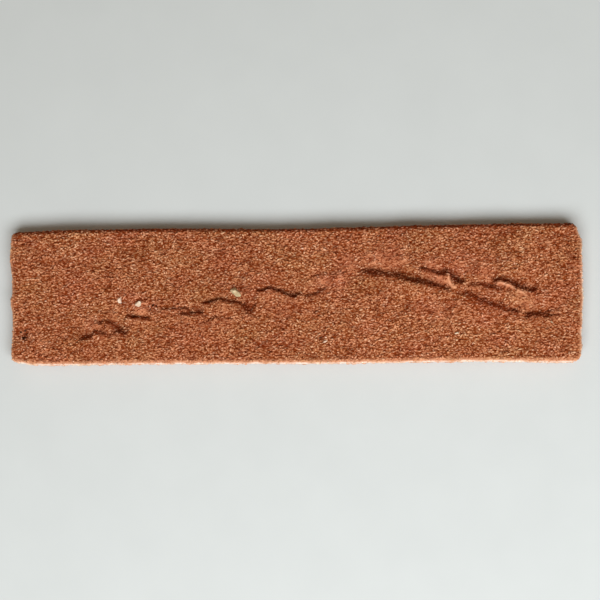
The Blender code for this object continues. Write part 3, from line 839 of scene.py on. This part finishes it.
def grain_mesh(name, places, normals, looks, radii, rng, tones):
    """Return one mesh of angular grains, each pressed into the surface at its place."""
    shape, faces = unit_icosahedron()
    count, corners = len(places), len(shape)
    turn = rng.uniform(0.0, math.tau, count)
    along_x, along_y = GRAIN_STRAY
    stray = np.stack((np.cos(turn) * along_x, np.sin(turn) * along_y, np.zeros(count)), axis=1)
    along = stray - np.sum(stray * normals, axis=1)[:, None] * normals
    along /= np.maximum(np.linalg.norm(along, axis=1), 1e-9)[:, None]
    across = np.cross(normals, along)
    size = radii[:, None] * np.stack([rng.uniform(*shares, count) for shares in GRAIN_SHAPE], axis=1)
    local = shape[None, :, :] * rng.uniform(*GRAIN_CORNERS, (count, corners, 1)) * size[:, None, :]
    share = SUNK_SHARE + SIDE_SUNK_SHARE * (1.0 - np.abs(normals[:, 2]))
    sunk = places - normals * (share * radii * rng.uniform(*SUNK_SPREAD, count))[:, None]
    axes = np.stack((along, across, normals), axis=1)
    points = sunk[:, None, :] + local @ axes
    points[:, :, 2] = np.maximum(points[:, :, 2], GRAIN_FLOOR)
    indices = (faces[None, :, :] + corners * np.arange(count)[:, None, None]).reshape(-1)
    mesh = bpy.data.meshes.new(name)
    mesh.vertices.add(count * corners)
    mesh.vertices.foreach_set("co", points.astype(np.float32).ravel())
    mesh.loops.add(len(indices))
    mesh.loops.foreach_set("vertex_index", indices.astype(np.int32))
    mesh.polygons.add(len(indices) // 3)
    mesh.polygons.foreach_set("loop_start", np.arange(0, len(indices), 3, dtype=np.int32))
    mesh.update(calc_edges=True)
    add_attribute(mesh, "tone", np.repeat(rng.uniform(*tones, count), corners))
    add_attribute(mesh, "groove", np.repeat(looks[:, 1], corners))
    add_attribute(mesh, "wear_and_highlight", np.repeat(looks[:, 2], corners))
    return mesh


def add_grains(name, chosen, radius, sizes, rng, tones=(0.0, 1.0)):
    """Return one joined piece of grains of about this radius, with places, normals and looks as chosen."""
    places, normals, looks = chosen
    radii = radius * rng.uniform(*sizes, len(places))
    return add_object(name, grain_mesh(name, places, normals, looks, radii, rng, tones))


def scatter_sand(surface, sand):
    """Return one joined piece of moulding sand of one size."""
    rng = np.random.default_rng(sand.seed)
    tried = surface.samples(sand.count * SAND_CHOICE, rng)
    shy = np.clip(tried[2] @ SHYNESS, 0.0, MOST_SHY)
    sandy = rng.random(len(shy)) > shy
    tried = [values[sandy] for values in tried]
    kept = thin_out(tried[0], sand.spacing, sand.count)
    chosen = [values[kept] for values in tried]
    return add_grains(sand.name, chosen, sand.radius, SAND_SIZES, rng, sand.tones)


def scatter_crumbs(surface):
    """Return the larger crumbs that cling to the sides near the arris and roughen the outline."""
    rng = np.random.default_rng(CRUMB_SEED)
    tried = surface.samples(CRUMB_CHOICE, rng)
    steep = np.abs(tried[1][:, 2]) < CRUMB_RISE
    high = tried[0][:, 2] > CRUMB_HEIGHT * THICKNESS
    on_arris = np.flatnonzero(steep & high)[:CRUMB_COUNT]
    outer = surface.nearest(OUTER_CRUMBS)
    chosen = [np.vstack((some[on_arris], more)) for some, more in zip(tried, outer)]
    return add_grains("edge_crumbs", chosen, CRUMB_RADIUS, CRUMB_SIZES, rng)


def scatter_pale_grains_and_glints(surface):
    """Return the palest grains of quartz, which stand out singly, and in part stand in as painted glints."""
    rng = np.random.default_rng(PALE_GRAIN_SEED)
    spare = surface.samples(SPARE_PALE_GRAINS_AND_GLINTS, rng)
    chosen = [np.vstack(pair) for pair in zip(surface.nearest(PALE_GRAINS_AND_GLINTS), spare)]
    return add_grains("pale_grains_and_glints", chosen, PALE_GRAIN_RADIUS, PALE_GRAIN_SIZES, rng)


def stone_mesh(name, surface, stones):
    """Return one mesh of broken stones: each is the hull of random corners, with its edges dulled."""
    bm = bmesh.new()
    tone = bm.verts.layers.float.new("tone")
    for stone in stones:
        rng = np.random.default_rng(stone.seed)
        corners = rng.normal(size=(STONE_CORNERS, 3))
        corners /= np.linalg.norm(corners, axis=1)[:, None]
        corners *= rng.uniform(*STONE_SPREAD, (STONE_CORNERS, 1)) * stone.half_size
        place = surface.nearest([stone.place])[0][0]
        turn = Matrix.Rotation(math.radians(stone.turn), 3, "Z")
        centre = Vector(place.tolist()) + Vector((0.0, 0.0, STONE_LIFT * stone.half_size[2]))
        made = [bm.verts.new(centre + turn @ Vector(corner)) for corner in corners]
        hull = bmesh.ops.convex_hull(bm, input=made)
        bmesh.ops.delete(bm, geom=hull["geom_interior"], context="VERTS")
        kept = [vert for vert in made if vert.is_valid]
        edges = list(dict.fromkeys(edge for vert in kept for edge in vert.link_edges))
        bevelled = bmesh.ops.bevel(bm, geom=edges, offset=STONE_DULLING * stone.half_size[1], segments=2,
                                   profile=0.6, affect="EDGES")
        for vert in {vert for face in bevelled["faces"] for vert in face.verts}:
            vert[tone] = stone.tone
    bmesh.ops.recalc_face_normals(bm, faces=bm.faces)
    # The bevel leaves them in another order each run
    order = Vector(STONE_ORDER)
    bm.verts.sort(key=lambda vert: order.dot(vert.co))
    bm.faces.sort(key=lambda face: order.dot(face.calc_center_median()))
    mesh = bpy.data.meshes.new(name)
    bm.to_mesh(mesh)
    bm.free()
    return mesh


def add_object(name, mesh):
    """Link a new object with this mesh to the scene."""
    thing = bpy.data.objects.new(name, mesh)
    bpy.context.scene.collection.objects.link(thing)
    return thing


class Nodes:
    """A material's node tree, with short ways to add nodes and link them."""

    def __init__(self, name):
        self.material = bpy.data.materials.new(name)
        self.material.use_nodes = True
        self.tree = self.material.node_tree
        self.shader = self.tree.nodes["Principled BSDF"]
        self.place = self.add("ShaderNodeTexCoord").outputs["Object"]

    def add(self, kind, **settings):
        """Add a node and set its properties."""
        node = self.tree.nodes.new(kind)
        for key, value in settings.items():
            setattr(node, key, value)
        return node

    def link(self, output, socket):
        """Join an output to a socket."""
        self.tree.links.new(output, socket)

    def noise(self, pitch, detail=2.0, roughness=0.5, stretch=(1.0, 1.0, 1.0), contrast=1.0):
        """Return noise with features of about this pitch, spread about one half by the contrast."""
        mapping = self.add("ShaderNodeMapping")
        mapping.inputs["Scale"].default_value = stretch
        self.link(self.place, mapping.inputs["Vector"])
        texture = self.add("ShaderNodeTexNoise")
        texture.inputs["Scale"].default_value = 1.0 / pitch
        texture.inputs["Detail"].default_value = detail
        texture.inputs["Roughness"].default_value = roughness
        self.link(mapping.outputs["Vector"], texture.inputs["Vector"])
        spread = self.add("ShaderNodeMapRange")
        spread.inputs["From Min"].default_value = 0.5 - 0.25 / contrast
        spread.inputs["From Max"].default_value = 0.5 + 0.25 / contrast
        self.link(texture.outputs["Fac"], spread.inputs["Value"])
        return spread.outputs["Result"]

    def attribute(self, name):
        """Return a number stored on the mesh."""
        return self.add("ShaderNodeAttribute", attribute_name=name).outputs["Fac"]

    def ramp(self, share, *stops):
        """Return a colour read from stops of (share, colour)."""
        node = self.add("ShaderNodeValToRGB")
        elements = node.color_ramp.elements
        while len(elements) < len(stops):
            elements.new(0.5)
        for element, (position, colour) in zip(elements, stops):
            element.position = position
            element.color = colour
        self.link(share, node.inputs["Fac"])
        return node.outputs["Color"]

    def mix(self, share, first, second, blend="MIX"):
        """Return one colour mixed with another, by a share that is a socket or a number."""
        node = self.add("ShaderNodeMix", data_type="RGBA", blend_type=blend)
        for value, socket in ((share, node.inputs["Factor"]), (first, node.inputs["A"]),
                              (second, node.inputs["B"])):
            if isinstance(value, (tuple, float)):
                socket.default_value = value
            else:
                self.link(value, socket)
        return node.outputs["Result"]

    def tinge(self, mask, colour, share, other):
        """Return a colour that goes by a share towards another where the mask is strong."""
        return self.mix(mask, colour, self.mix(share, colour, other))

    def bump(self, height, depth, strength=1.0):
        """Roughen the shader's normal by a height of this depth in metres."""
        node = self.add("ShaderNodeBump")
        node.inputs["Strength"].default_value = strength
        node.inputs["Distance"].default_value = depth
        self.link(height, node.inputs["Height"])
        self.link(node.outputs["Normal"], self.shader.inputs["Normal"])

    def finish(self, colour, roughness, specular=0.3):
        """Wire the colour, and set the shader's roughness and specular level."""
        self.link(colour, self.shader.inputs["Base Color"])
        self.shader.inputs["Roughness"].default_value = roughness
        self.shader.inputs["Specular IOR Level"].default_value = specular
        return self.material


def broad_tint(nodes, colour):
    """Return a colour that drifts in patches over the slip, from browner to redder and paler."""
    patch = nodes.noise(0.016, detail=3.0, roughness=0.6, stretch=(0.6, 1.0, 1.0), contrast=1.3)
    hue = nodes.noise(0.009, detail=2.0, stretch=(0.7, 1.0, 1.0), contrast=1.2)
    tint = nodes.mix(patch, srgb(236, 232, 226), srgb(255, 255, 255))
    hued = nodes.mix(hue, srgb(255, 244, 241), srgb(248, 255, 240))
    tinted = nodes.mix(1.0, colour, tint, blend="MULTIPLY")
    return nodes.mix(1.0, tinted, hued, blend="MULTIPLY")


def paled_by_wear_and_highlight(nodes, colour):
    """Return a colour turned pink, and at last chalky, where the slip is worn and where it is painted pale as
    highlight on the lit arris and ridges.
    """
    wear_and_highlight = nodes.attribute("wear_and_highlight")
    grit = nodes.noise(0.0007, detail=2.0, contrast=1.6)
    pale = nodes.ramp(wear_and_highlight, (0.6, srgb(240, 178, 140)), (1.0, srgb(255, 240, 226)))
    return nodes.mix(wear_and_highlight, colour, nodes.tinge(grit, pale, 0.25, srgb(214, 140, 104)))


def clay_material():
    """Fired clay between the grains: dark and saturated, partly as painted shade; paler where bare, where
    worn and where painted as highlight; darkest in the painted shade of grooves, pits, cracks and the upper
    arris.
    """
    nodes = Nodes("fired_clay_body")
    mottle = nodes.noise(0.0024, detail=4.0, roughness=0.6, stretch=(0.6, 1.0, 1.0), contrast=1.4)
    grit = nodes.noise(0.0007, detail=2.0, stretch=(0.7, 1.0, 1.0), contrast=2.0)
    # Dark, saturated clay between the grains, partly painted shade in the gaps
    grains = nodes.ramp(grit, (0.10, srgb(134, 58, 20)), (0.50, srgb(172, 102, 66)),
                        (0.90, srgb(214, 150, 116)))
    sandy = nodes.tinge(mottle, grains, 0.22, srgb(144, 74, 40))
    smooth = nodes.mix(mottle, srgb(242, 168, 130), srgb(222, 144, 108))
    colour = nodes.mix(nodes.attribute("bare"), sandy, smooth)
    colour = broad_tint(nodes, colour)
    # Painted shade: grooves, pits, cracks, fine hollows and the upper arris turn dark red-brown
    colour = nodes.mix(nodes.attribute("groove"), colour, srgb(108, 32, 2))
    # Paler where worn, and painted highlight on the lit arris and ridges
    colour = paled_by_wear_and_highlight(nodes, colour)
    body = nodes.ramp(nodes.noise(0.0016, detail=5.0, roughness=0.65, contrast=1.2),
                      (0.1, srgb(150, 84, 56)), (0.55, srgb(182, 106, 72)), (0.92, srgb(204, 140, 104)))
    saw_marks = nodes.noise(0.0008, detail=2.0, stretch=(0.02, 1.0, 1.0), contrast=1.4)
    on_back = nodes.attribute("sawn")
    colour = nodes.mix(on_back, colour, nodes.tinge(saw_marks, body, 0.45, srgb(214, 158, 124)))
    pores = nodes.noise(0.00045, detail=3.0, contrast=1.0)
    nodes.bump(nodes.mix(on_back, pores, saw_marks), 0.00012, 0.9)
    return nodes.finish(colour, 0.9, 0.02)


def sand_material():
    """Moulding sand burnt onto the clay, from dark red-brown to pale pinkish quartz, darkened as painted
    shade in the grooves and paled where worn and painted as highlight.
    """
    nodes = Nodes("moulding_sand")
    colour = nodes.ramp(nodes.attribute("tone"), (0.0, srgb(126, 44, 4)), (0.14, srgb(158, 77, 38)),
                        (0.42, srgb(198, 120, 82)), (0.72, srgb(228, 154, 115)),
                        (0.90, srgb(250, 184, 147)), (1.0, srgb(255, 200, 168)))
    stain = nodes.noise(0.0006, detail=2.0, contrast=1.4)
    colour = nodes.tinge(stain, colour, 0.3, srgb(142, 76, 44))
    # Painted shade: grains in the grooves, pits and cracks turn dark red-brown
    colour = nodes.tinge(nodes.attribute("groove"), colour, 0.94, srgb(113, 34, 2))
    # Paler where worn, and painted highlight on the lit arris and ridges
    colour = paled_by_wear_and_highlight(nodes, colour)
    nodes.bump(nodes.noise(0.0002, detail=2.0), 0.00004, 0.6)
    return nodes.finish(broad_tint(nodes, colour), 0.75, 0.03)


def pale_stone_material():
    """Cream and greenish-yellow stone, dusted with red in patches."""
    nodes = Nodes("pale_stone")
    tone = nodes.attribute("tone")
    cream = nodes.noise(0.0016, detail=3.0, contrast=1.8)
    light = nodes.mix(cream, srgb(255, 248, 228), srgb(224, 186, 158))
    yellow = nodes.mix(cream, srgb(222, 206, 160), srgb(168, 160, 116))
    dust = nodes.noise(0.0007, detail=2.0, contrast=2.4)
    nodes.bump(nodes.noise(0.0003, detail=3.0), 0.00006, 0.7)
    colour = nodes.mix(tone, yellow, light)
    colour = nodes.tinge(dust, colour, 0.30, srgb(200, 124, 92))
    return nodes.finish(colour, 0.7, 0.15)


def pale_grain_and_glint_material():
    """Single grains of pale pinkish quartz, partly standing in as painted glints."""
    nodes = Nodes("pale_quartz_and_glints")
    colour = nodes.ramp(nodes.attribute("tone"), (0.0, srgb(232, 170, 138)), (1.0, srgb(250, 206, 176)))
    nodes.bump(nodes.noise(0.0002, detail=2.0), 0.00004, 0.6)
    return nodes.finish(colour, 0.55, 0.25)


def iron_material():
    """Burnt ironstone, near black with a brown cast."""
    nodes = Nodes("iron_stone")
    mottle = nodes.noise(0.0005, detail=3.0, contrast=1.4)
    dark = nodes.mix(mottle, srgb(32, 8, 0), srgb(66, 26, 8))
    brown = nodes.mix(mottle, srgb(96, 58, 38), srgb(158, 124, 100))
    nodes.bump(nodes.noise(0.0003, detail=3.0), 0.00008, 0.8)
    return nodes.finish(nodes.mix(nodes.attribute("tone"), dark, brown), 0.7, 0.04)


def floor_material():
    """Plain pale grey, very slightly mottled."""
    nodes = Nodes("pale_floor")
    mottle = nodes.noise(0.02, detail=3.0)
    colour = nodes.mix(mottle, srgb(207, 212, 212), srgb(210, 215, 215))
    return nodes.finish(colour, 0.85, 0.2)


def add_floor():
    """Lay the floor at the slip's foot."""
    corners = [(x * FLOOR_HALF, y * FLOOR_HALF, 0.0) for x, y in ((-1, -1), (1, -1), (1, 1), (-1, 1))]
    mesh = bpy.data.meshes.new("floor")
    mesh.from_pydata(corners, [], [(0, 1, 2, 3)])
    floor = add_object("floor", mesh)
    floor.location.z = LOW.z - FLOOR_GAP
    floor.data.materials.append(floor_material())


def add_lights():
    """Add the soft box and the pale sky."""
    lamp = bpy.data.lights.new("soft_box", "AREA")
    lamp.shape = "RECTANGLE"
    lamp.size, lamp.size_y = LIGHT_SIZE
    lamp.energy = LIGHT_WATTS
    lamp.color = LIGHT_COLOUR
    soft_box = bpy.data.objects.new("soft_box", lamp)
    bpy.context.scene.collection.objects.link(soft_box)
    level = LIGHT_DISTANCE * math.cos(LIGHT_ELEVATION)
    soft_box.location = (level * math.sin(LIGHT_AZIMUTH), -level * math.cos(LIGHT_AZIMUTH),
                         LIGHT_DISTANCE * math.sin(LIGHT_ELEVATION))
    soft_box.rotation_euler = (-soft_box.location).to_track_quat("-Z", "Y").to_euler()
    world = bpy.data.worlds.new("pale_sky")
    world.use_nodes = True
    sky = world.node_tree.nodes["Background"]
    sky.inputs["Color"].default_value = SKY_COLOUR
    sky.inputs["Strength"].default_value = SKY_STRENGTH
    bpy.context.scene.world = world


def add_camera():
    """Look straight down on the slip, tilted a little so that its right end is nearer."""
    data = bpy.data.cameras.new("camera")
    data.lens = CAMERA_LENS
    data.sensor_width = 36.0
    data.clip_start = 0.01
    camera = bpy.data.objects.new("camera", data)
    bpy.context.scene.collection.objects.link(camera)
    place = Vector(CAMERA_PLACE)
    ahead = (Vector(CAMERA_AIM) - place).normalized()
    right = ahead.cross(Vector((0.0, 1.0, 0.0))).normalized()
    up = right.cross(ahead)
    level = Matrix((right, up, -ahead)).transposed()
    roll = Matrix.Rotation(CAMERA_ROLL, 3, "Z")
    camera.matrix_world = Matrix.Translation(place) @ (level @ roll).to_4x4()
    bpy.context.scene.camera = camera


def settle(piece, look):
    """Give a piece its material, and let it ride on the slip."""
    piece.data.materials.append(look)
    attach(piece, "root")


def main():
    """Set up the camera, light and floor, then build the slip with its sand and stones."""
    bpy.context.scene.view_settings.view_transform = "Standard"
    add_camera()
    add_lights()
    add_floor()
    body = add_object("slip_body", body_mesh())
    settle(body, clay_material())
    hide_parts("brick_slip")
    surface = Surface(body.data)
    sand_look = sand_material()
    for sand in SANDS:
        settle(scatter_sand(surface, sand), sand_look)
    settle(scatter_crumbs(surface), sand_look)
    settle(scatter_pale_grains_and_glints(surface), pale_grain_and_glint_material())
    pale_stones = add_object("pale_stones", stone_mesh("pale_stones", surface, PALE_STONES))
    settle(pale_stones, pale_stone_material())
    iron_stones = add_object("iron_stones", stone_mesh("iron_stones", surface, DARK_STONES))
    settle(iron_stones, iron_material())


main()
